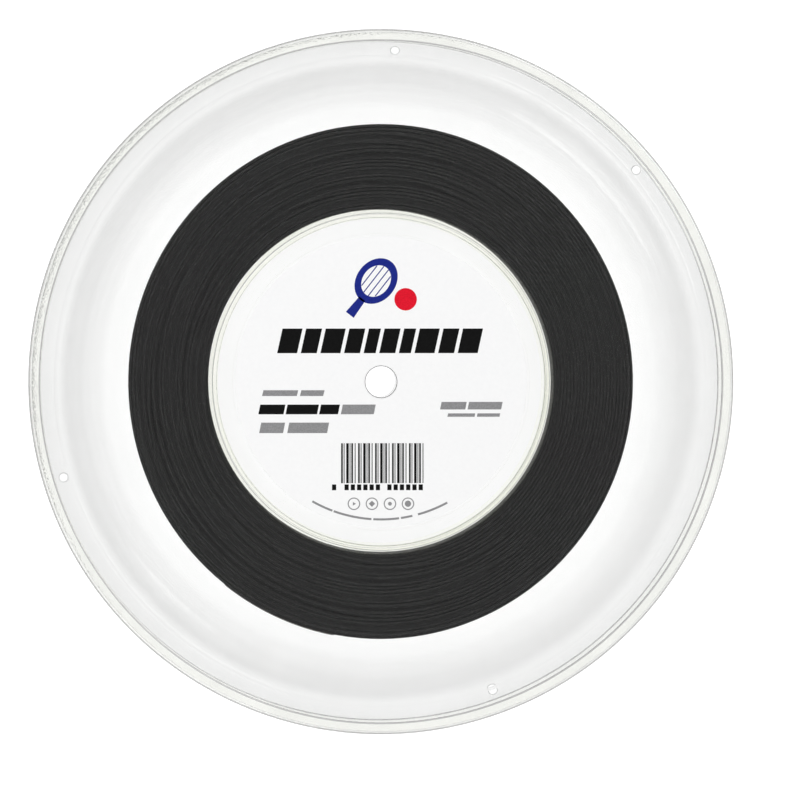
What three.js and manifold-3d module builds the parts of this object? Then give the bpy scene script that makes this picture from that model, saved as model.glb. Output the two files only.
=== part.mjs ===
// A 200 m reel of racket string: two identical clear flanges pressed into the ends of a clear drum tube,
// the string wound on the drum between them, and a round paper label on each hub.
//
// Millimetres. The reel lies flat on its rear rim: +Z is its turning axis, from the rear face to the front
// face, and the origin is the centre of the face that it rests on.

import * as THREE from "three";
import { mergeVertices } from "three/addons/utils/BufferGeometryUtils.js";
import Module from "manifold-3d";

const wasm = await Module();
wasm.setup();

// ---- Driving dimensions ----

const OUTER_RADIUS = 135;
const OVERALL_HEIGHT = 32;
const WALL = 1.6; // flange wall thickness
const LATHE_SEGMENTS = 64;

// The flat web lies this far below the rim, so that the label never touches a table.
const WEB_DEPTH = 2.9;
const WEB_OUTER_RADIUS = 107; // the web is flat out to here
const DISH_OUTER_RADIUS = 123; // and rises to the ledge here
const DISH_STEPS = 6;

// Ledge just inside the rim: a fine raised bead at its inner edge, and the string holes.
const LEDGE_DEPTH = 0.5;
const BEAD_RADIUS = 124.7;
const BEAD_SIZE = 0.4;
const BEAD_STEPS = 2;
const HOLE_CIRCLE_RADIUS = 126.9;
const HOLE_RADIUS = 1.6;
const HOLE_SPACING_DEG = 157;
const HOLE_SEGMENTS = 16;

// Rim: a thicker rolled lip that carries the reel when it lies down.
const RIM_INNER_RADIUS = 130.7;
const RIM_HEIGHT = 3.8;
const RIM_CORNER = 1.4;
const RIM_STEPS = 2;
const RIM_CHAMFER = 0.3;

// Hub: the plate that carries the label, the collar that presses into the drum, the spindle boss.
const LABEL_RECESS_RADIUS = 56.3;
const LABEL_RECESS_DEPTH = 0.3;
const COLLAR_OUTER_RADIUS = 64.55;
const COLLAR_WALL = 1.2;
const COLLAR_HEIGHT = 7;
const COLLAR_CHAMFER = 0.4;
const BORE_RADIUS = 6;
const BOSS_WALL = 2.6;
const BOSS_END_GAP = 0.4; // each boss stops this far short of the middle of the reel

const DRUM_OUTER_RADIUS = 66.15;
const DRUM_INNER_RADIUS = 64.85;
const DRUM_END_GAP = 0.3;

const WINDING_INNER_RADIUS = 66.6;
const WINDING_OUTER_RADIUS = 97.8;
const WINDING_SIDE_GAP = 0.3;
const STRING_DIAMETER = 1.35;

const LABEL_RADIUS = 55.4;
const LABEL_HOLE_RADIUS = 6.3;
const LABEL_THICKNESS = 0.15;
const LABEL_GLUE = 0.05;

// Two strips of clear tape: one holds the start of the string on the drum, one its free end.
const TAPE_THICKNESS = 0.1;
const TAPE_GLUE = 0.1;
const START_TAPE_WIDTH = 12;
const START_TAPE_LENGTH = 30;
const START_TAPE_ANGLE_DEG = 120;
const END_TAPE_WIDTH = 21;
const END_TAPE_LENGTH = 46;
const END_TAPE_ANGLE_DEG = 246;
const TAPE_STEP_DEG = 1.5;

// How far each flange is turned on the axis, to the first of its two string holes.
const FRONT_TURN_DEG = 39.7;
const REAR_TURN_DEG = 87.2;

// ---- Materials ----

const clearPlastic = () =>
  new THREE.MeshStandardMaterial({
    color: 0xf3f5ec,
    roughness: 0.08,
    metalness: 0,
    transparent: true,
    opacity: 0.3,
  });

const blackString = () =>
  new THREE.MeshStandardMaterial({ color: 0x303031, roughness: 0.42, metalness: 0 });

const labelPaper = () =>
  new THREE.MeshStandardMaterial({ color: 0xfafafa, roughness: 0.55, metalness: 0 });

const clearTape = () =>
  new THREE.MeshStandardMaterial({
    color: 0xf5f1dc,
    roughness: 0.25,
    metalness: 0,
    transparent: true,
    opacity: 0.4,
  });

// ---- Helpers ----

const radians = THREE.MathUtils.degToRad;

// Points (radius, height) of an arc about a centre, both ends included.
function arc(centreRadius, centreHeight, size, fromDeg, toDeg, steps) {
  return Array.from({ length: steps + 1 }, (_, i) => {
    const angle = radians(fromDeg + ((toDeg - fromDeg) * i) / steps);
    return [centreRadius + size * Math.cos(angle), centreHeight + size * Math.sin(angle)];
  });
}

// Points (radius, height) of a smooth S between two levels, both ends included.
function easedSlope(fromRadius, fromHeight, toRadius, toHeight, steps) {
  return Array.from({ length: steps + 1 }, (_, i) => {
    const share = i / steps;
    const rise = (1 - Math.cos(Math.PI * share)) / 2;
    return [fromRadius + (toRadius - fromRadius) * share, fromHeight + (toHeight - fromHeight) * rise];
  });
}

// A closed outline of (radius, height) points, listed counter-clockwise, turned about Z.
function turned(outline) {
  const points = [...outline, outline[0]].map(([radius, height]) => new THREE.Vector2(radius, height));
  const geometry = new THREE.LatheGeometry(points, LATHE_SEGMENTS);
  geometry.rotateX(Math.PI / 2);
  return geometry;
}

// A flat ring of rectangular section, turned about Z.
function ring(innerRadius, outerRadius, bottom, top) {
  return turned([
    [innerRadius, bottom],
    [outerRadius, bottom],
    [outerRadius, top],
    [innerRadius, top],
  ]);
}

function toManifold(geometry) {
  const bare = geometry.clone();
  bare.deleteAttribute("normal");
  bare.deleteAttribute("uv");
  const merged = mergeVertices(bare);
  return new wasm.Manifold(
    new wasm.Mesh({
      numProp: 3,
      vertProperties: Float32Array.from(merged.attributes.position.array),
      triVerts: Uint32Array.from(merged.index.array),
    }),
  );
}

function fromManifold(solid) {
  const { vertProperties, triVerts } = solid.getMesh();
  const geometry = new THREE.BufferGeometry();
  geometry.setAttribute("position", new THREE.BufferAttribute(vertProperties, 3));
  geometry.setIndex(new THREE.BufferAttribute(triVerts, 1));
  geometry.computeVertexNormals();
  return geometry;
}

// ---- The flange moulding ----

// Drawn as the rear flange: the rim's outer face is at height 0, and the hub stands up into the drum.
function flangeOutline() {
  const plateBottom = WEB_DEPTH + LABEL_RECESS_DEPTH;
  const plateTop = plateBottom + WALL;
  const webTop = WEB_DEPTH + WALL;
  const ledgeTop = LEDGE_DEPTH + WALL;
  const collarInner = COLLAR_OUTER_RADIUS - COLLAR_WALL;
  const collarTop = webTop + COLLAR_HEIGHT;
  const bossOuter = BORE_RADIUS + BOSS_WALL;
  const bossTop = OVERALL_HEIGHT / 2 - BOSS_END_GAP;
  return [
    // underside, from the bore out to the rim
    [BORE_RADIUS, plateBottom],
    [LABEL_RECESS_RADIUS, plateBottom],
    [LABEL_RECESS_RADIUS, WEB_DEPTH],
    ...easedSlope(WEB_OUTER_RADIUS, WEB_DEPTH, DISH_OUTER_RADIUS, LEDGE_DEPTH, DISH_STEPS),
    ...arc(BEAD_RADIUS, LEDGE_DEPTH, BEAD_SIZE, 180, 360, BEAD_STEPS),
    [RIM_INNER_RADIUS, LEDGE_DEPTH],
    [RIM_INNER_RADIUS + RIM_CHAMFER, 0],
    ...arc(OUTER_RADIUS - RIM_CORNER, RIM_CORNER, RIM_CORNER, -90, 0, RIM_STEPS),
    // upper side, from the rim back to the hub
    ...arc(OUTER_RADIUS - RIM_CORNER, RIM_HEIGHT - RIM_CORNER, RIM_CORNER, 0, 90, RIM_STEPS),
    [RIM_INNER_RADIUS + RIM_CHAMFER, RIM_HEIGHT],
    [RIM_INNER_RADIUS, RIM_HEIGHT - RIM_CHAMFER],
    [RIM_INNER_RADIUS, ledgeTop],
    ...easedSlope(DISH_OUTER_RADIUS, ledgeTop, WEB_OUTER_RADIUS, webTop, DISH_STEPS),
    [COLLAR_OUTER_RADIUS, webTop],
    [COLLAR_OUTER_RADIUS, collarTop - COLLAR_CHAMFER],
    [COLLAR_OUTER_RADIUS - COLLAR_CHAMFER, collarTop],
    [collarInner, collarTop],
    [collarInner, plateTop],
    [bossOuter, plateTop],
    [bossOuter, bossTop],
    [BORE_RADIUS, bossTop],
  ];
}

function flangeGeometry() {
  let flange = toManifold(turned(flangeOutline()));
  for (const angleDeg of [0, HOLE_SPACING_DEG]) {
    const drill = new THREE.CylinderGeometry(HOLE_RADIUS, HOLE_RADIUS, 4 * WALL, HOLE_SEGMENTS);
    drill.rotateX(Math.PI / 2);
    drill.translate(HOLE_CIRCLE_RADIUS, 0, LEDGE_DEPTH + WALL / 2);
    drill.rotateZ(radians(angleDeg));
    flange = flange.subtract(toManifold(drill));
  }
  return fromManifold(flange);
}

// ---- The string, wound on the drum ----

function windingGeometry() {
  const bottom = WEB_DEPTH + WALL + WINDING_SIDE_GAP;
  const top = OVERALL_HEIGHT - bottom;
  const corner = STRING_DIAMETER / 2;
  return turned([
    [WINDING_INNER_RADIUS, bottom],
    [WINDING_OUTER_RADIUS - corner, bottom],
    ...arc(WINDING_OUTER_RADIUS - corner, bottom + corner, corner, -90, 0, 2).slice(1),
    ...arc(WINDING_OUTER_RADIUS - corner, top - corner, corner, 0, 90, 2),
    [WINDING_INNER_RADIUS, top],
  ]);
}

// ---- Tape strips, bent round the axis ----

function tapeGeometry(innerRadius, width, length, middleDeg) {
  const outerRadius = innerRadius + TAPE_THICKNESS;
  const spanDeg = THREE.MathUtils.radToDeg(length / innerRadius);
  const steps = Math.ceil(spanDeg / TAPE_STEP_DEG);
  const outline = [
    ...arc(0, 0, outerRadius, middleDeg - spanDeg / 2, middleDeg + spanDeg / 2, steps),
    ...arc(0, 0, innerRadius, middleDeg + spanDeg / 2, middleDeg - spanDeg / 2, steps),
  ];
  const shape = new THREE.Shape(outline.map(([x, y]) => new THREE.Vector2(x, y)));
  const geometry = new THREE.ExtrudeGeometry(shape, { depth: width, bevelEnabled: false });
  geometry.translate(0, 0, (OVERALL_HEIGHT - width) / 2);
  return geometry;
}

// ---- Assembly ----

const group = new THREE.Group();

function add(name, geometry, material) {
  const mesh = new THREE.Mesh(geometry, material);
  mesh.name = name;
  group.add(mesh);
  return mesh;
}

const rearFlange = add("rear_flange", flangeGeometry(), clearPlastic());
rearFlange.rotation.z = radians(REAR_TURN_DEG - HOLE_SPACING_DEG);

// The front flange is the same moulding turned over.
const frontFlange = add("front_flange", flangeGeometry(), clearPlastic());
frontFlange.rotation.set(Math.PI, 0, radians(FRONT_TURN_DEG + HOLE_SPACING_DEG), "ZYX");
frontFlange.position.z = OVERALL_HEIGHT;

const drumEnd = WEB_DEPTH + WALL + DRUM_END_GAP;
const drum = ring(DRUM_INNER_RADIUS, DRUM_OUTER_RADIUS, drumEnd, OVERALL_HEIGHT - drumEnd);
add("drum_tube", drum, clearPlastic());

add("string_winding", windingGeometry(), blackString());

// Each label is glued into the recess of its hub plate.
const glueFace = WEB_DEPTH + LABEL_RECESS_DEPTH - LABEL_GLUE;
const rearLabel = ring(LABEL_HOLE_RADIUS, LABEL_RADIUS, glueFace - LABEL_THICKNESS, glueFace);
add("rear_label", rearLabel, labelPaper());
const frontLabel = rearLabel.clone();
frontLabel.translate(0, 0, OVERALL_HEIGHT - 2 * glueFace + LABEL_THICKNESS);
add("front_label", frontLabel, labelPaper());

const startTapeRadius = DRUM_OUTER_RADIUS + TAPE_GLUE;
const startTape = tapeGeometry(startTapeRadius, START_TAPE_WIDTH, START_TAPE_LENGTH, START_TAPE_ANGLE_DEG);
add("string_start_tape", startTape, clearTape());
const endTapeRadius = WINDING_OUTER_RADIUS + TAPE_GLUE;
const endTape = tapeGeometry(endTapeRadius, END_TAPE_WIDTH, END_TAPE_LENGTH, END_TAPE_ANGLE_DEG);
add("string_end_tape", endTape, clearTape());

export default group;
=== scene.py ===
"""The looks of a 200 m reel of black racket string: clear moulded flanges and drum, the wound string,
and a paper label on each hub. The reel lies flat on its rear rim, with its front label facing up."""

import math

import bmesh
import bpy
import numpy as np
from mathutils import Matrix, Vector


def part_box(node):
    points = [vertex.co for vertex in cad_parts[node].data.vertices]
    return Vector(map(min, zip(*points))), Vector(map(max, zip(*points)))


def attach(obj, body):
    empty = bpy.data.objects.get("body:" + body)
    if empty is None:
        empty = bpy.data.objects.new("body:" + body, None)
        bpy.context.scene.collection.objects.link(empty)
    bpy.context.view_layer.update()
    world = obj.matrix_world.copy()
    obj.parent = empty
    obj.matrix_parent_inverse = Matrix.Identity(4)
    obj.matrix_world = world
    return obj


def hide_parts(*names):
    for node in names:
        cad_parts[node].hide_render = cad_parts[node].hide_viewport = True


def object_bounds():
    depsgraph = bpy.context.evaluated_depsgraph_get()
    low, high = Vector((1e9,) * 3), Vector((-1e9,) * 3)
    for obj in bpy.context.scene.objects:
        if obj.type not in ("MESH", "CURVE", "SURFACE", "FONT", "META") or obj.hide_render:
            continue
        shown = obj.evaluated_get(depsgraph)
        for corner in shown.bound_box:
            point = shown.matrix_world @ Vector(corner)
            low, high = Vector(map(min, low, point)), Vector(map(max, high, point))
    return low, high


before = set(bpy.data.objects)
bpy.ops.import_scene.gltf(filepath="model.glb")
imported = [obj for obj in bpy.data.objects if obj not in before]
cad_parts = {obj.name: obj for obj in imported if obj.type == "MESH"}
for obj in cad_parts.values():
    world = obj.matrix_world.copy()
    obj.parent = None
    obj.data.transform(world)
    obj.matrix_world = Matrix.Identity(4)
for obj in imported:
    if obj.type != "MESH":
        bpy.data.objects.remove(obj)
cad_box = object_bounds()

# ---- Sizes in millimetres: the CAD model's, read from it where a node's box shows them. The bead, the edge
# of the label's recess, the label with its hole, and the inside of the winding differ from it slightly. ----

MM = 0.001


def node_radius(node):
    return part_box(node)[1].x / MM


def node_levels(node):
    low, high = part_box(node)
    return low.z / MM, high.z / MM


HEIGHT = cad_box[1].z / MM
RIM_RADIUS = node_radius("front_flange")
WALL = 1.6
WEB_DEPTH = 2.9
WEB_RADIUS = 107.0
DISH_RADIUS = 123.0
LEDGE_DEPTH = 0.5
BEAD_RADIUS = 124.7
BEAD_HALF = 0.7  # half the bead's width at its foot
BEAD_RISE = 0.13
HOLE_CIRCLE = 126.9
HOLE_RADIUS = 1.6
HOLE_SPACING = 157.0
FRONT_TURN, REAR_TURN = 39.7, 87.2  # degrees, to the first of each flange's two string holes
RIM_INNER = 130.7
RIM_HEIGHT = 3.8
RIM_CORNER = 1.4
RIM_LEAN, RIM_FOOT_LEAN = 0.4, 0.1  # how far the rim's inner wall leans out, at its outer face and its foot
RECESS_RADIUS = 56.3
RECESS_DEPTH = 0.3
RECESS_SLOPE = 1.2  # the width of its sloped edge
COLLAR_RADIUS = 64.55
COLLAR_WALL = 1.2
COLLAR_HEIGHT = 7.0
COLLAR_FOOT = WEB_DEPTH + RECESS_DEPTH + WALL + 0.02  # the level where its material starts
BORE_RADIUS = 6.0
BOSS_WALL = 2.6
BOSS_TOP = HEIGHT / 2 - 0.4

DRUM_RADIUS = node_radius("drum_tube")
DRUM_WALL = 1.3
DRUM_LOW, DRUM_HIGH = node_levels("drum_tube")

COIL_RADIUS = node_radius("string_winding")
COIL_INNER = 66.45
COIL_LOW, COIL_HIGH = node_levels("string_winding")
STRING = 1.35  # diameter
LAYERS = 24
OVALNESS = 1.0  # how far the outer layer strays from round
END_ANGLE = 246.0  # degrees, where the string's free end lies under its tape

LABEL_EXTRA = 0.6  # how far the paper reaches past the CAD model's
LABEL_RADIUS = node_radius("front_label") + LABEL_EXTRA
LABEL_HOLE = 6.25
FRONT_LABEL = node_levels("front_label")
REAR_LABEL = node_levels("rear_label")
INK = 0.03  # how far the print stands on the paper
PRINT_SHIFT = 0.6  # the print's middle lies this far above the label's

SEGMENTS = 288  # steps of a turned shape
DISH_STEPS = 18


# ---- Outlines: lists of (radius, height), counter-clockwise, to be turned about Z ----


def eased(start, end, steps):
    """Points of a smooth S from start to end, both included."""
    shares = np.linspace(0, 1, steps + 1)
    rises = (1 - np.cos(np.pi * shares)) / 2
    return [
        (start[0] + (end[0] - start[0]) * s, start[1] + (end[1] - start[1]) * r)
        for s, r in zip(shares, rises)
    ]


def filleted(corners, steps=3, hold=0.25):
    """Rounds each corner given as (radius, height, fillet), and keeps a point at hold either side of the
    fillet, so that the flat beside it shades flat. A corner with no fillet stays a point."""
    out = []
    count = len(corners)
    for i, corner in enumerate(corners):
        if len(corner) == 2:
            out.append(corner)
            continue
        here = Vector(corner[:2])
        to_last = Vector(corners[i - 1][:2]) - here
        to_next = Vector(corners[(i + 1) % count][:2]) - here
        turn = math.pi - to_last.angle(to_next)
        size = min(corner[2], 0.45 * min(to_last.length, to_next.length) / math.tan(turn / 2))
        reach = size * math.tan(turn / 2)
        first, last = here + to_last.normalized() * reach, here + to_next.normalized() * reach
        inward = (to_last.normalized() + to_next.normalized()).normalized()
        centre = here + inward * (size / math.cos(turn / 2))
        if to_last.length > 4 * (reach + hold):
            out.append(tuple(first + to_last.normalized() * hold))
        from_centre, to_centre = first - centre, last - centre
        for k in range(steps + 1):
            share = k / steps
            ray = from_centre.slerp(to_centre, share)
            out.append(tuple(centre + ray.normalized() * size))
        if to_next.length > 4 * (reach + hold):
            out.append(tuple(last + to_next.normalized() * hold))
    return out


# ---- Meshes ----


def new_object(name, mesh, materials, smooth_under=None):
    """An object of that mesh. With smooth_under, edges under that many degrees are shaded smooth."""
    for material in materials:
        mesh.materials.append(material)
    if smooth_under is not None:
        mesh.polygons.foreach_set("use_smooth", [True] * len(mesh.polygons))
        mesh.set_sharp_from_angle(angle=math.radians(smooth_under))
    piece = bpy.data.objects.new(name, mesh)
    bpy.context.scene.collection.objects.link(piece)
    return piece


def grid_faces(rows, columns, close_rows):
    """Quads over a grid of points whose columns are closed, and whose rows are if close_rows."""
    row = np.arange(rows if close_rows else rows - 1)[:, None]
    column = np.arange(columns)[None, :]
    next_row, next_column = (row + 1) % rows, (column + 1) % columns
    corners = [
        row * columns + column,
        next_row * columns + column,
        next_row * columns + next_column,
        row * columns + next_column,
    ]
    return np.stack(np.broadcast_arrays(*corners), axis=-1).reshape(-1, 4)


def turned_mesh(name, outline, segments=SEGMENTS):
    """A closed outline turned about Z."""
    angles = np.arange(segments) * 2 * math.pi / segments
    radius, height = (np.array(values) * MM for values in zip(*outline))
    points = np.stack(
        [
            np.outer(np.cos(angles), radius),
            np.outer(np.sin(angles), radius),
            np.broadcast_to(height, (segments, len(outline))),
        ],
        axis=-1,
    )
    mesh = bpy.data.meshes.new(name)
    mesh.from_pydata(
        points.reshape(-1, 3).tolist(), [], grid_faces(segments, len(outline), True).tolist()
    )
    return mesh


def ring_outline(inner, outer, low, high, fillet):
    corners = [(inner, low), (outer, low), (outer, high), (inner, high)]
    return filleted([(radius, height, fillet) for radius, height in corners])


def strand_mesh(name, paths, sides=8):
    """Round strands that follow paths, each three arrays of angle, radius and height, as one mesh."""
    vertices, faces, start = [], [], 0
    turn = np.arange(sides) * 2 * math.pi / sides
    for angle, radius, height in paths:
        across = radius[:, None] + np.cos(turn) * STRING / 2
        points = np.stack(
            [
                across * np.cos(angle)[:, None],
                across * np.sin(angle)[:, None],
                height[:, None] + np.sin(turn) * STRING / 2,
            ],
            axis=-1,
        )
        vertices.append(points.reshape(-1, 3) * MM)
        faces += (grid_faces(len(angle), sides, False) + start).tolist()
        faces.append([start + i for i in range(sides)])
        last = start + (len(angle) - 1) * sides
        faces.append([last + i for i in reversed(range(sides))])
        start += len(angle) * sides
    mesh = bpy.data.meshes.new(name)
    mesh.from_pydata(np.concatenate(vertices).tolist(), [], faces)
    return mesh


# ---- Materials ----


class Nodes:
    """A material's node tree, with short calls to add and join nodes."""

    def __init__(self, name):
        self.material = bpy.data.materials.new(name)
        self.material.use_nodes = True
        self.tree = self.material.node_tree
        self.shader = self.tree.nodes["Principled BSDF"]
        self.output = self.tree.nodes["Material Output"]
        self.place = self.add("ShaderNodeTexCoord").outputs["Object"]

    def add(self, kind, **settings):
        node = self.tree.nodes.new(kind)
        for key, value in settings.items():
            setattr(node, key, value)
        return node

    def join(self, source, target):
        self.tree.links.new(source, target)

    def noise(self, scale, detail=3.0, stretch=(1, 1, 1)):
        """A noise value from 0 to 1, with scale repeats to the metre."""
        mapping = self.add("ShaderNodeMapping")
        mapping.inputs["Scale"].default_value = stretch
        self.join(self.place, mapping.inputs["Vector"])
        noise = self.add("ShaderNodeTexNoise")
        noise.inputs["Scale"].default_value = scale
        noise.inputs["Detail"].default_value = detail
        self.join(mapping.outputs["Vector"], noise.inputs["Vector"])
        return noise.outputs["Fac"]

    def range(self, value, low, high):
        """value from 0.3 to 0.7 spread over low to high."""
        spread = self.add("ShaderNodeMapRange")
        spread.inputs["From Min"].default_value = 0.3
        spread.inputs["From Max"].default_value = 0.7
        spread.inputs["To Min"].default_value = low
        spread.inputs["To Max"].default_value = high
        self.join(value, spread.inputs["Value"])
        return spread.outputs["Result"]

    def blend(self, value, low, high):
        """A colour between low and high as value goes from 0.3 to 0.7."""
        mix = self.add("ShaderNodeMix", data_type="RGBA")
        mix.inputs["A"].default_value = (*low, 1)
        mix.inputs["B"].default_value = (*high, 1)
        self.join(self.range(value, 0, 1), mix.inputs["Factor"])
        return mix.outputs["Result"]

    def times(self, colour, other):
        mix = self.add("ShaderNodeMix", data_type="RGBA", blend_type="MULTIPLY")
        mix.inputs["Factor"].default_value = 1.0
        self.join(colour, mix.inputs["A"])
        self.join(other, mix.inputs["B"])
        return mix.outputs["Result"]

    def by_radius(self, painted_greys):
        """A grey that changes smoothly with the distance from the turning axis."""
        flat = self.add("ShaderNodeVectorMath", operation="MULTIPLY")
        flat.inputs[1].default_value = (1, 1, 0)
        self.join(self.place, flat.inputs[0])
        length = self.add("ShaderNodeVectorMath", operation="LENGTH")
        self.join(flat.outputs["Vector"], length.inputs[0])
        share = self.add("ShaderNodeMapRange")
        share.inputs["From Min"].default_value = painted_greys[0][0] * MM
        share.inputs["From Max"].default_value = painted_greys[-1][0] * MM
        self.join(length.outputs["Value"], share.inputs["Value"])
        colours = self.add("ShaderNodeValToRGB")
        ramp = colours.color_ramp
        ramp.interpolation = "EASE"
        while len(ramp.elements) < len(painted_greys):
            ramp.elements.new(0.5)
        for element, (radius, grey) in zip(ramp.elements, painted_greys):
            element.position = (radius - painted_greys[0][0]) / (painted_greys[-1][0] - painted_greys[0][0])
            element.color = (grey, grey, grey, 1)
        self.join(share.outputs["Result"], colours.inputs["Fac"])
        return colours.outputs["Color"]

    def painted_shade_by_steepness(self, dark):
        """White on walls that lie flat, down to dark on upright ones: painted shade standing in for the dark
        lines that bent light draws along the moulding's slopes and edges.
        """
        split = self.add("ShaderNodeSeparateXYZ")
        self.join(self.add("ShaderNodeTexCoord").outputs["Normal"], split.inputs["Vector"])
        flatness = self.add("ShaderNodeMath", operation="ABSOLUTE")
        self.join(split.outputs["Z"], flatness.inputs[0])
        share = self.add("ShaderNodeMapRange")
        share.inputs["From Min"].default_value = 0.7
        share.inputs["From Max"].default_value = 0.97
        self.join(flatness.outputs["Value"], share.inputs["Value"])
        mix = self.add("ShaderNodeMix", data_type="RGBA")
        mix.inputs["A"].default_value = (dark, dark, dark, 1)
        mix.inputs["B"].default_value = (1, 1, 1, 1)
        self.join(share.outputs["Result"], mix.inputs["Factor"])
        return mix.outputs["Result"]

    def bump(self, value, height_mm, strength=1.0):
        bump = self.add("ShaderNodeBump")
        bump.inputs["Distance"].default_value = height_mm * MM
        bump.inputs["Strength"].default_value = strength
        self.join(value, bump.inputs["Height"])
        self.join(bump.outputs["Normal"], self.shader.inputs["Normal"])


def clear_plastic(name, low, high, painted_greys=None, upright_shade=0.6, scuff=0.02):
    """Clear moulded polystyrene with the faint waves of its moulding and fine scuffs. Lamps shine through.
    With the greys, a list of (radius in millimetres, grey), the plastic is that much darker at that radius,
    as painted shade; sloped and upright walls darken as painted shade too."""
    nodes = Nodes(name)
    nodes.shader.inputs["Transmission Weight"].default_value = 1.0
    nodes.shader.inputs["IOR"].default_value = 1.5
    # Painted shade: sloped and upright walls are darker, by the steepness of their normal.
    tint = nodes.times(nodes.blend(nodes.noise(60), low, high), nodes.painted_shade_by_steepness(upright_shade))
    if painted_greys:
        # Painted shade: the plastic is darker where the dish slopes, by radius.
        tint = nodes.times(tint, nodes.by_radius(painted_greys))
    nodes.join(tint, nodes.shader.inputs["Base Color"])
    nodes.join(nodes.range(nodes.noise(900, 6), 0.01, 0.07), nodes.shader.inputs["Roughness"])
    nodes.bump(nodes.noise(1100, 3), scuff * 0.1)
    path = nodes.add("ShaderNodeLightPath")
    clear = nodes.add("ShaderNodeBsdfTransparent")
    clear.inputs["Color"].default_value = (*high, 1)
    mix = nodes.add("ShaderNodeMixShader")
    nodes.join(path.outputs["Is Shadow Ray"], mix.inputs["Fac"])
    nodes.join(nodes.shader.outputs["BSDF"], mix.inputs[1])
    nodes.join(clear.outputs["BSDF"], mix.inputs[2])
    nodes.join(mix.outputs["Shader"], nodes.output.inputs["Surface"])
    return nodes.material


def piping_plastic(name, low, high, body=0.05):
    """The clear plastic of walls seen end on, which lead the light up from below without bending it."""
    nodes = Nodes(name)
    tint = nodes.blend(nodes.noise(60), low, high)
    nodes.join(tint, nodes.shader.inputs["Base Color"])
    nodes.join(nodes.range(nodes.noise(900, 4), 0.1, 0.25), nodes.shader.inputs["Roughness"])
    nodes.bump(nodes.noise(1100, 3), 0.004)
    clear = nodes.add("ShaderNodeBsdfTransparent")
    nodes.join(tint, clear.inputs["Color"])
    mix = nodes.add("ShaderNodeMixShader")
    mix.inputs["Fac"].default_value = body
    nodes.join(clear.outputs["BSDF"], mix.inputs[1])
    nodes.join(nodes.shader.outputs["BSDF"], mix.inputs[2])
    nodes.join(mix.outputs["Shader"], nodes.output.inputs["Surface"])
    return nodes.material


def black_string():
    """Nylon string with a thin wrapped coating."""
    nodes = Nodes("black string")
    nodes.join(
        nodes.blend(nodes.noise(350, 4), (0.0255, 0.0255, 0.0255), (0.0285, 0.0285, 0.0285)),
        nodes.shader.inputs["Base Color"],
    )
    nodes.shader.inputs["Specular IOR Level"].default_value = 0.07
    nodes.join(nodes.range(nodes.noise(1200, 4), 0.45, 0.6), nodes.shader.inputs["Roughness"])
    nodes.bump(nodes.noise(2600, 2), 0.004)
    return nodes.material


def label_paper():
    """White coated paper with a fine fibre grain."""
    nodes = Nodes("label paper")
    nodes.join(
        nodes.blend(nodes.noise(700, 6), (0.905, 0.905, 0.907), (0.925, 0.925, 0.925)),
        nodes.shader.inputs["Base Color"],
    )
    nodes.join(nodes.range(nodes.noise(1500, 4), 0.4, 0.55), nodes.shader.inputs["Roughness"])
    nodes.bump(nodes.noise(3200, 5), 0.006)
    return nodes.material


def ink(name, low, high):
    """Print on the label, a little uneven in colour and gloss."""
    nodes = Nodes(name)
    nodes.shader.inputs["Specular IOR Level"].default_value = 0.2
    nodes.join(nodes.blend(nodes.noise(1800, 4), low, high), nodes.shader.inputs["Base Color"])
    nodes.join(nodes.range(nodes.noise(1500, 4), 0.3, 0.45), nodes.shader.inputs["Roughness"])
    nodes.bump(nodes.noise(3200, 5), 0.008)
    return nodes.material


def clear_tape():
    """Clear packing tape, faintly cream, with the small ripples of a film laid over round strands."""
    nodes = Nodes("clear tape")
    nodes.shader.inputs["Transmission Weight"].default_value = 1.0
    nodes.shader.inputs["IOR"].default_value = 1.48
    nodes.join(
        nodes.blend(nodes.noise(200), (0.86, 0.84, 0.74), (0.93, 0.92, 0.85)),
        nodes.shader.inputs["Base Color"],
    )
    nodes.join(nodes.range(nodes.noise(800, 4), 0.12, 0.3), nodes.shader.inputs["Roughness"])
    nodes.bump(nodes.noise(400, 2, (1, 1, 4)), 0.05)
    return nodes.material


DISH_PAINTED_SHADE = [  # (radius in millimetres, grey), painted shade that darkens the dish's slope and the rim
    (97, 1.0),
    (104, 0.98),
    (110, 0.935),
    (112.5, 0.915),
    (116, 0.885),
    (120.5, 0.872),
    (123.6, 0.925),
    (130, 0.905),
]
# Both get painted shade on sloped and upright walls, darkest on the rim; the main moulding also gets painted
# shade by radius in its dish.
CLEAR = clear_plastic("clear plastic", (0.985, 0.987, 0.984), (0.997, 0.998, 0.996), DISH_PAINTED_SHADE, upright_shade=0.4)
CLEAR_RIM = clear_plastic(
    "clear plastic rim", (0.91, 0.913, 0.895), (0.945, 0.948, 0.931), upright_shade=0.25, scuff=0.4
)
CLEAR_DRUM = piping_plastic("clear plastic drum", (0.965, 0.97, 0.935), (0.985, 0.985, 0.96))
STRING_BLACK = black_string()
PAPER = label_paper()
TAPE = clear_tape()
INKS = {
    "blue": ink("ink blue", (0.010, 0.018, 0.19), (0.014, 0.026, 0.25)),
    "red": ink("ink red", (0.62, 0.006, 0.020), (0.78, 0.010, 0.030)),
    "black": ink("ink black", (0.003, 0.003, 0.003), (0.007, 0.007, 0.007)),
    "grey": ink("ink grey", (0.22, 0.22, 0.225), (0.30, 0.30, 0.305)),
}


# ---- Camera: nearly square on to the front, tilted so that the rear flange shows a little up and left ----

VIEW_DISTANCE = 3860.0
VIEW_LEAN = (-0.0338, 0.0200)  # x and y of the unit vector from the reel to the camera
FIELD_WIDTH = 306.1  # millimetres across the frame at the front rim
AIM = (7.15, -6.9)  # the point of the front rim's plane at the middle of the frame


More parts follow.
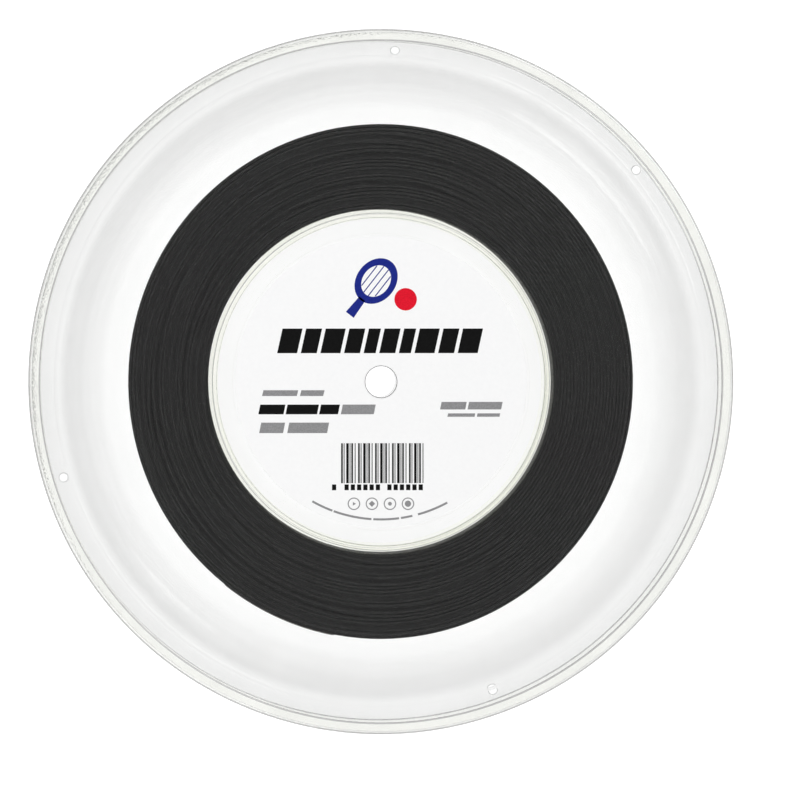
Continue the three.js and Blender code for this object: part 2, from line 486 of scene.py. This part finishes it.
def make_camera():
    data = bpy.data.cameras.new("camera")
    data.sensor_width = 36.0
    data.lens = data.sensor_width * VIEW_DISTANCE / FIELD_WIDTH
    data.clip_start, data.clip_end = 0.1, 100.0
    camera = bpy.data.objects.new("camera", data)
    lean = Vector((*VIEW_LEAN, math.sqrt(1 - VIEW_LEAN[0] ** 2 - VIEW_LEAN[1] ** 2)))
    aim = Vector((*AIM, HEIGHT))
    side = Vector((0, 1, 0)).cross(lean).normalized()
    turn = Matrix((side, lean.cross(side), lean)).transposed()
    camera.matrix_world = Matrix.Translation((aim + lean * VIEW_DISTANCE) * MM) @ turn.to_4x4()
    bpy.context.scene.collection.objects.link(camera)
    bpy.context.scene.camera = camera


make_camera()


# ---- The flanges ----


def flange_outline():
    """The moulding's section, drawn as the rear flange, with its rim's outer face at height 0."""
    plate_low = WEB_DEPTH + RECESS_DEPTH
    plate_high, web_high, ledge_high = plate_low + WALL, WEB_DEPTH + WALL, LEDGE_DEPTH + WALL
    collar_high = web_high + COLLAR_HEIGHT
    collar_inner, boss = COLLAR_RADIUS - COLLAR_WALL, BORE_RADIUS + BOSS_WALL
    return filleted(
        [
            (BORE_RADIUS, plate_low, 0.2),
            *eased((RECESS_RADIUS, plate_low), (RECESS_RADIUS + RECESS_SLOPE, WEB_DEPTH), 5),
            *eased((WEB_RADIUS, WEB_DEPTH), (DISH_RADIUS, LEDGE_DEPTH), DISH_STEPS),
            *eased((BEAD_RADIUS - BEAD_HALF, LEDGE_DEPTH), (BEAD_RADIUS, LEDGE_DEPTH - BEAD_RISE), 6),
            *eased((BEAD_RADIUS, LEDGE_DEPTH - BEAD_RISE), (BEAD_RADIUS + BEAD_HALF, LEDGE_DEPTH), 6)[1:],
            (RIM_INNER, LEDGE_DEPTH, 0.1),
            (RIM_INNER + RIM_LEAN, 0, 0.15),
            (RIM_RADIUS, 0, RIM_CORNER),
            (RIM_RADIUS, RIM_HEIGHT, RIM_CORNER),
            (RIM_INNER + RIM_FOOT_LEAN, RIM_HEIGHT, 0.3),
            (RIM_INNER, ledge_high, 0.3),
            *eased((DISH_RADIUS, ledge_high), (WEB_RADIUS, web_high), DISH_STEPS),
            (COLLAR_RADIUS, web_high, 0.3),
            (COLLAR_RADIUS, collar_high, 0.4),
            (collar_inner, collar_high, 0.2),
            (collar_inner, plate_high, 0.5),
            (boss, plate_high, 0.5),
            (boss, BOSS_TOP, 0.3),
            (BORE_RADIUS, BOSS_TOP, 0.3),
        ],
        steps=4,
    )


def hole_cutter(angle):
    """A drill for one string hole, flared a little at both faces of the ledge."""
    low, high, flare = LEDGE_DEPTH, LEDGE_DEPTH + WALL, 0.25
    levels = [
        (HOLE_RADIUS + 3 * flare, low - 2 * flare),
        (HOLE_RADIUS, low + flare),
        (HOLE_RADIUS, high - flare),
        (HOLE_RADIUS + 3 * flare, high + 2 * flare),
    ]
    sides = 40
    turn = np.arange(sides) * 2 * math.pi / sides
    a = math.radians(angle)
    centre = HOLE_CIRCLE * math.cos(a), HOLE_CIRCLE * math.sin(a)
    points = [
        ((centre[0] + r * math.cos(t)) * MM, (centre[1] + r * math.sin(t)) * MM, z * MM)
        for r, z in levels
        for t in turn
    ]
    faces = []
    for level in range(len(levels) - 1):
        for i in range(sides):
            j = (i + 1) % sides
            base = level * sides
            faces.append((base + i, base + j, base + sides + j, base + sides + i))
    faces.append(tuple(reversed(range(sides))))
    faces.append(tuple((len(levels) - 1) * sides + i for i in range(sides)))
    mesh = bpy.data.meshes.new("hole cutter")
    mesh.from_pydata(points, [], faces)
    return new_object("hole cutter", mesh, [])


def flange_mesh():
    """The moulding with its string holes cut, and its rim in the rim's own material."""
    mesh = turned_mesh("flange", flange_outline())
    blank = new_object("flange blank", mesh, [])
    cutters = [hole_cutter(angle) for angle in (0, HOLE_SPACING)]
    for cutter in cutters:
        cut = blank.modifiers.new("hole", "BOOLEAN")
        cut.operation, cut.solver, cut.object = "DIFFERENCE", "EXACT", cutter
    graph = bpy.context.evaluated_depsgraph_get()
    cut_mesh = bpy.data.meshes.new_from_object(blank.evaluated_get(graph), depsgraph=graph)
    for scrap in (blank, *cutters):
        bpy.data.objects.remove(scrap)
    cut_mesh.materials.clear()
    inner_foot = COLLAR_RADIUS - COLLAR_WALL - 0.6  # the fillets at the collar's foot count as collar
    for face in cut_mesh.polygons:
        middle, level = math.hypot(face.center.x, face.center.y) / MM, face.center.z / MM
        in_rim = middle > RIM_INNER
        in_collar = inner_foot < middle < COLLAR_RADIUS + 0.4 and level > COLLAR_FOOT
        face.material_index = 1 if in_rim else 2 if in_collar else 0
    return cut_mesh


def make_flanges():
    rear = flange_mesh()
    front = rear.copy()
    rear.transform(Matrix.Rotation(math.radians(REAR_TURN - HOLE_SPACING), 4, "Z"))
    over = Matrix.Rotation(math.radians(FRONT_TURN + HOLE_SPACING), 4, "Z") @ Matrix.Rotation(math.pi, 4, "X")
    front.transform(Matrix.Translation((0, 0, HEIGHT * MM)) @ over)
    for name, mesh in (("rear", rear), ("front", front)):
        flange = new_object(f"{name}_flange_moulding", mesh, [CLEAR, CLEAR_RIM, CLEAR_DRUM], smooth_under=40)
        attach(flange, "root")
        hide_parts(f"{name}_flange")


make_flanges()


# ---- The drum ----


def make_drum():
    outline = ring_outline(DRUM_RADIUS - DRUM_WALL, DRUM_RADIUS, DRUM_LOW, DRUM_HIGH, 0.2)
    drum = new_object("drum_tube_shell", turned_mesh("drum", outline), [CLEAR_DRUM], smooth_under=40)
    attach(drum, "root")
    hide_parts("drum_tube")


make_drum()


# ---- The string ----

TURN_STEPS = 150
START_ANGLE = 120.0  # degrees, where the first turn starts, under its tape
CLIMB = 0.07  # the share of a turn that a step up one layer takes
GROOVE_DEPTH = 0.26  # how much deeper every other layer lies at the sides
chance = np.random.RandomState(11)


def wavering(angle, size):
    """A slow seeded waver along a strand, so that no two turns lie quite alike."""
    total = np.zeros_like(angle)
    for cycles in (0.37, 1.13, 2.71):
        total += np.sin(angle * cycles + chance.uniform(0, 2 * math.pi)) * chance.uniform(0.4, 1.0)
    return total * size / 3


def oval(angle, radius):
    """How much farther out a strand lies at that angle: the winding is a little higher than it is wide."""
    share = (radius - COIL_INNER) / (COIL_RADIUS - COIL_INNER)
    return -OVALNESS * share * np.cos(2 * angle)


def side_path(wall, inward):
    """The turns that show at one side: a spiral that stays round for most of each turn and steps up one
    layer in a short climb. Every other layer lies deeper, in the groove between its neighbours."""
    turns = LAYERS - 1
    angle = np.linspace(0, turns * 2 * math.pi, turns * TURN_STEPS + 1)
    step_at = 0.35 * np.sin(np.arange(turns + 1) * 2.4) + 0.5
    layer = angle / (2 * math.pi)
    whole = np.minimum(layer.astype(int), turns)
    share = layer - whole
    climb = np.clip((share - step_at[whole]) / CLIMB + 0.5, 0, 1)
    level = np.minimum(whole + climb * climb * (3 - 2 * climb), turns - 1)
    pitch = (COIL_RADIUS - COIL_INNER - STRING) / (LAYERS - 1)
    deeper = GROOVE_DEPTH / 2 * (1 - np.cos(math.pi * level))
    radius = COIL_INNER + STRING / 2 + pitch * level + wavering(angle, 0.025)
    radius += oval(angle, radius)
    height = wall + inward * (STRING / 2 + deeper + 0.05 + np.abs(wavering(angle, 0.09)))
    return angle, radius, height


def layer_path(radius, turns, start_angle):
    """One layer's turns side by side, from the rear wall to the front one."""
    angle = np.linspace(0, turns * 2 * math.pi, turns * TURN_STEPS + 1)
    height = np.linspace(COIL_LOW + STRING / 2, COIL_HIGH - STRING / 2, len(angle))
    waver = wavering(angle, 0.05)
    waver[0] = waver[-1] = 0
    round_radius = radius + wavering(angle, 0.04) - 0.04
    angle = angle + math.radians(start_angle)
    return angle, round_radius + oval(angle, round_radius), height + waver


def make_string():
    turns = int((COIL_HIGH - COIL_LOW - STRING) / STRING)
    paths = [
        side_path(COIL_HIGH, -1),
        side_path(COIL_LOW, 1),
        layer_path(COIL_RADIUS - STRING / 2, turns, END_ANGLE),
        layer_path(COIL_INNER + STRING / 2, turns, START_ANGLE),
    ]
    mesh = strand_mesh("string turns", paths)
    strands = new_object("string_turns", mesh, [STRING_BLACK], smooth_under=60)
    core_outline = ring_outline(
        COIL_INNER + STRING * 0.6,
        COIL_RADIUS - STRING * 0.6,
        COIL_LOW + STRING * 0.9,
        COIL_HIGH - STRING * 0.9,
        0.5,
    )
    core_mesh = turned_mesh("core", core_outline)
    for vertex in core_mesh.vertices:
        radius = vertex.co.xy.length / MM
        grown = 1 + oval(math.atan2(vertex.co.y, vertex.co.x), radius) / radius
        vertex.co.x, vertex.co.y = vertex.co.x * grown, vertex.co.y * grown
    core = new_object("string_inner_layers", core_mesh, [STRING_BLACK], smooth_under=40)
    for piece in (strands, core):
        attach(piece, "root")
    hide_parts("string_winding")


make_string()


# ---- Tape over the string's ends ----

START_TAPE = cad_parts["string_start_tape"]  # it lies on the drum, under the winding
START_TAPE.data.materials.clear()
START_TAPE.data.materials.append(TAPE)

END_TAPE_LENGTH = 46.0
END_TAPE_GAP, END_TAPE_THICKNESS = 0.1, 0.1


def make_end_tape():
    """The strip that holds the string's free end, wrapped round the oval winding."""
    low, high = node_levels("string_end_tape")
    half = END_TAPE_LENGTH / COIL_RADIUS / 2
    angle = math.radians(END_ANGLE) + np.linspace(-half, half, 41)
    inner = COIL_RADIUS + oval(angle, COIL_RADIUS) + END_TAPE_GAP
    outer = inner + END_TAPE_THICKNESS
    section = [(inner, low), (outer, low), (outer, high), (inner, high)]
    edges = [
        np.stack([r * np.cos(angle), r * np.sin(angle), np.full_like(angle, z)], axis=-1)
        for r, z in section
    ]
    points = np.stack(edges, axis=1)
    faces = grid_faces(len(angle), 4, False).tolist()
    last = (len(angle) - 1) * 4
    faces += [[0, 1, 2, 3], [last + 3, last + 2, last + 1, last]]
    mesh = bpy.data.meshes.new("end tape")
    mesh.from_pydata((points.reshape(-1, 3) * MM).tolist(), [], faces)
    tape = new_object("string_end_tape_strip", mesh, [TAPE], smooth_under=40)
    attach(tape, "root")
    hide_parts("string_end_tape")


make_end_tape()


# ---- The labels: paper discs, with flat print that stands for lettering and marks ----


class Print:
    """Flat shapes of ink on a label, drawn in millimetres from its centre, x right and y up."""

    def __init__(self):
        self.mesh = bmesh.new()
        self.colours = list(INKS)

    def patch(self, points, colour):
        """A filled outline, counter-clockwise."""
        low = [self.mesh.verts.new((x * MM, y * MM, 0)) for x, y in points]
        high = [self.mesh.verts.new((x * MM, y * MM, INK * MM)) for x, y in points]
        faces = [self.mesh.faces.new(high), self.mesh.faces.new(list(reversed(low)))]
        for i in range(len(points)):
            j = (i + 1) % len(points)
            faces.append(self.mesh.faces.new((low[i], low[j], high[j], high[i])))
        for face in faces:
            face.material_index = self.colours.index(colour)

    def bar(self, x, y, width, height, colour, slant=0.0):
        """A bar whose lower left corner is at x, y, leaning right by slant times its height."""
        lean = slant * height
        corners = [(x, y), (x + width, y), (x + width + lean, y + height), (x + lean, y + height)]
        self.patch(corners, colour)

    def hoop(self, centre, inner, outer, colour, start=0.0, end=360.0, squeeze=1.0, tilt=0.0, parts=24):
        """Part of a hoop, as a row of patches, squeezed to an oval and tilted."""
        cos, sin = math.cos(math.radians(tilt)), math.sin(math.radians(tilt))

        def place(radius, degrees):
            a = math.radians(degrees)
            x, y = radius * math.cos(a) * squeeze, radius * math.sin(a)
            return centre[0] + x * cos - y * sin, centre[1] + x * sin + y * cos

        edges = np.linspace(start, end, parts + 1)
        for a, b in zip(edges[:-1], edges[1:]):
            self.patch([place(inner, a), place(outer, a), place(outer, b), place(inner, b)], colour)

    def disc(self, centre, radius, colour, parts=40):
        x, y = centre
        turn = np.arange(parts) * 2 * math.pi / parts
        self.patch([(x + radius * math.cos(t), y + radius * math.sin(t)) for t in turn], colour)

    def words(self, x, y, width, height, colour, slant, lengths, gap):
        """A row of plain slanted blocks that stands for words, whose widths are in proportion to lengths."""
        unit = (width - gap * (len(lengths) - 1)) / sum(lengths)
        for length in lengths:
            self.bar(x, y, unit * length, height, colour, slant)
            x += unit * length + gap

    def finish(self, name):
        mesh = bpy.data.meshes.new(name)
        self.mesh.to_mesh(mesh)
        self.mesh.free()
        return new_object(name, mesh, list(INKS.values()))


def emblem(ink_print, x, y):
    """A plain racket head on a short handle, with a ball beside it."""
    tilt = math.radians(38)
    along, across = (math.sin(tilt), math.cos(tilt)), (math.cos(tilt), -math.sin(tilt))
    head = (x - 1.5, y + 2.0)

    def place(far, aside):
        return head[0] + far * along[0] + aside * across[0], head[1] + far * along[1] + aside * across[1]

    def quad(corners):
        ink_print.patch([place(far, aside) for far, aside in corners], "blue")

    ink_print.hoop(head, 6.5, 9.4, "blue", squeeze=0.8, tilt=-38, parts=48)
    quad([(-16.4, -1.9), (-16.4, 1.9), (-8.6, 1.4), (-8.6, -1.4)])
    for aside, reach in ((-3.3, 4.8), (-1.1, 6.3), (1.1, 6.3), (3.3, 4.8)):
        left, right = aside - 0.2, aside + 0.2
        quad([(-reach, left), (-reach, right), (reach, right), (reach, left)])
    ink_print.disc((x + 9.8, y - 5.0), 4.3, "red")


def draw_front():
    front = Print()
    emblem(front, -0.4, 36.0)
    front.words(-39.8, 10.4, 76.8, 9.4, "black", 0.22, (5, 4, 5, 4, 3, 4, 3, 5, 4, 5), 1.4)
    front.words(-45.6, -6.0, 23.4, 2.2, "grey", 0.25, (6, 4), 1.2)
    front.words(-47.0, -13.0, 30.5, 3.7, "black", 0.2, (4, 5, 3), 0.8)
    front.words(-15.4, -13.0, 12.6, 3.7, "grey", 0.2, (3,), 0.8)
    front.words(-46.7, -20.2, 26.0, 4.0, "grey", 0.2, (3, 5), 1.6)
    front.words(22.6, -11.2, 23.4, 2.9, "grey", 0.2, (3, 4), 0.9)
    front.words(25.4, -14.0, 20.0, 1.3, "grey", 0.2, (6, 5), 0.9)
    stripes(front, -15.3, -39.4, 32.5, 15.3)
    front.words(-18.8, -42.1, 1.6, 2.2, "black", 0.0, (1,), 0)
    for x in (-14.0, 2.4):
        front.words(x, -42.1, 13.6, 2.2, "black", 0.0, (1,) * 6, 0.8)
    for i in range(4):
        middle = (-10.4 + 6.9 * i, -47.3)
        front.hoop(middle, 2.0, 2.4, "grey")
        front.disc(middle, (0.8, 1.2, 0.8, 1.2)[i], "grey", parts=(3, 4, 6, 24)[i])
    for start, end in ((-119.6, -110.5), (-109.9, -94.0), (-93.2, -82.6), (-81.8, -77.0), (-74.6, -61.6)):
        front.hoop((0, 0), 52.9, 53.7, "grey", start, end, parts=12)
    return front.finish("front_label_print")


def stripes(ink_print, x, y, width, height):
    """A block of upright stripes in an even rhythm, which holds no number."""
    rhythm = (2, 1, 1, 2, 3, 1, 1, 1, 2, 2, 1, 3)  # stripe, gap, stripe, gap and so on
    repeats = 5
    unit = width / (sum(rhythm) * repeats)
    for _ in range(repeats):
        for stripe, gap in zip(rhythm[::2], rhythm[1::2]):
            ink_print.bar(x, y, unit * stripe, height, "black")
            x += unit * (stripe + gap)


def make_label(side, levels):
    low, high = levels
    outline = ring_outline(LABEL_HOLE, LABEL_RADIUS, low, high, 0.03)
    label = new_object(f"{side}_label_paper", turned_mesh(f"{side} label", outline), [PAPER], smooth_under=40)
    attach(label, "root")
    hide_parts(f"{side}_label")
    return label


make_label("front", FRONT_LABEL)
make_label("rear", REAR_LABEL)
front_print = draw_front()
front_print.data.transform(Matrix.Translation((0, PRINT_SHIFT * MM, FRONT_LABEL[1] * MM)))
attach(front_print, "root")


# ---- Floor and light ----

FLOOR_GLOW = 1.05


def make_floor():
    """A white sheet lit from below as well as from above, as for a catalogue picture."""
    nodes = Nodes("floor")
    nodes.join(
        nodes.blend(nodes.noise(8), (0.15, 0.15, 0.15), (0.16, 0.16, 0.16)),
        nodes.shader.inputs["Base Color"],
    )
    nodes.shader.inputs["Roughness"].default_value = 0.8
    nodes.shader.inputs["Specular IOR Level"].default_value = 0.1
    nodes.shader.inputs["Emission Color"].default_value = (1, 1, 1, 1)
    nodes.shader.inputs["Emission Strength"].default_value = FLOOR_GLOW
    half, level = 6.0, -0.0003
    mesh = bpy.data.meshes.new("floor")
    corners = [(-half, -half, level), (half, -half, level), (half, half, level), (-half, half, level)]
    mesh.from_pydata(corners, [], [(0, 1, 2, 3)])
    new_object("floor", mesh, [nodes.material])


def make_sky():
    """A studio that is dim overhead, where the black string would mirror it, and paler towards the walls."""
    world = bpy.data.worlds.new("studio")
    world.use_nodes = True
    tree = world.node_tree
    place = tree.nodes.new("ShaderNodeTexCoord")
    split = tree.nodes.new("ShaderNodeSeparateXYZ")
    ramp = tree.nodes.new("ShaderNodeValToRGB")
    ramp.color_ramp.interpolation = "EASE"
    ramp.color_ramp.elements[0].position = 0.1
    ramp.color_ramp.elements[0].color = (0.45, 0.45, 0.45, 1)
    ramp.color_ramp.elements[1].position = 0.95
    ramp.color_ramp.elements[1].color = (0.1, 0.1, 0.1, 1)
    tree.links.new(place.outputs["Generated"], split.inputs["Vector"])
    tree.links.new(split.outputs["Z"], ramp.inputs["Fac"])
    tree.links.new(ramp.outputs["Color"], tree.nodes["Background"].inputs["Color"])
    bpy.context.scene.world = world


# azimuth in degrees, power in watts, and whether the reel mirrors it
SOFTBOXES = [(45, 6.3, True), (135, 7.3, False), (225, 6.3, True), (315, 5.3, False)]
SOFTBOX_HEIGHT = 40  # degrees above the floor
SOFTBOX_AWAY = 1.3
SOFTBOX_SIZE = 0.9


def make_lights():
    for azimuth, power, mirrored in SOFTBOXES:
        data = bpy.data.lights.new(f"softbox {azimuth}", "AREA")
        data.shape, data.size, data.energy = "SQUARE", SOFTBOX_SIZE, power
        light = bpy.data.objects.new(data.name, data)
        a, e = math.radians(azimuth), math.radians(SOFTBOX_HEIGHT)
        away = Vector((math.cos(a) * math.cos(e), math.sin(a) * math.cos(e), math.sin(e)))
        light.location = away * SOFTBOX_AWAY
        light.rotation_euler = away.to_track_quat("Z", "Y").to_euler()
        light.visible_camera = False
        light.visible_glossy = light.visible_transmission = mirrored
        bpy.context.scene.collection.objects.link(light)


make_floor()
make_sky()
make_lights()
bpy.context.scene.view_settings.view_transform = "Standard"
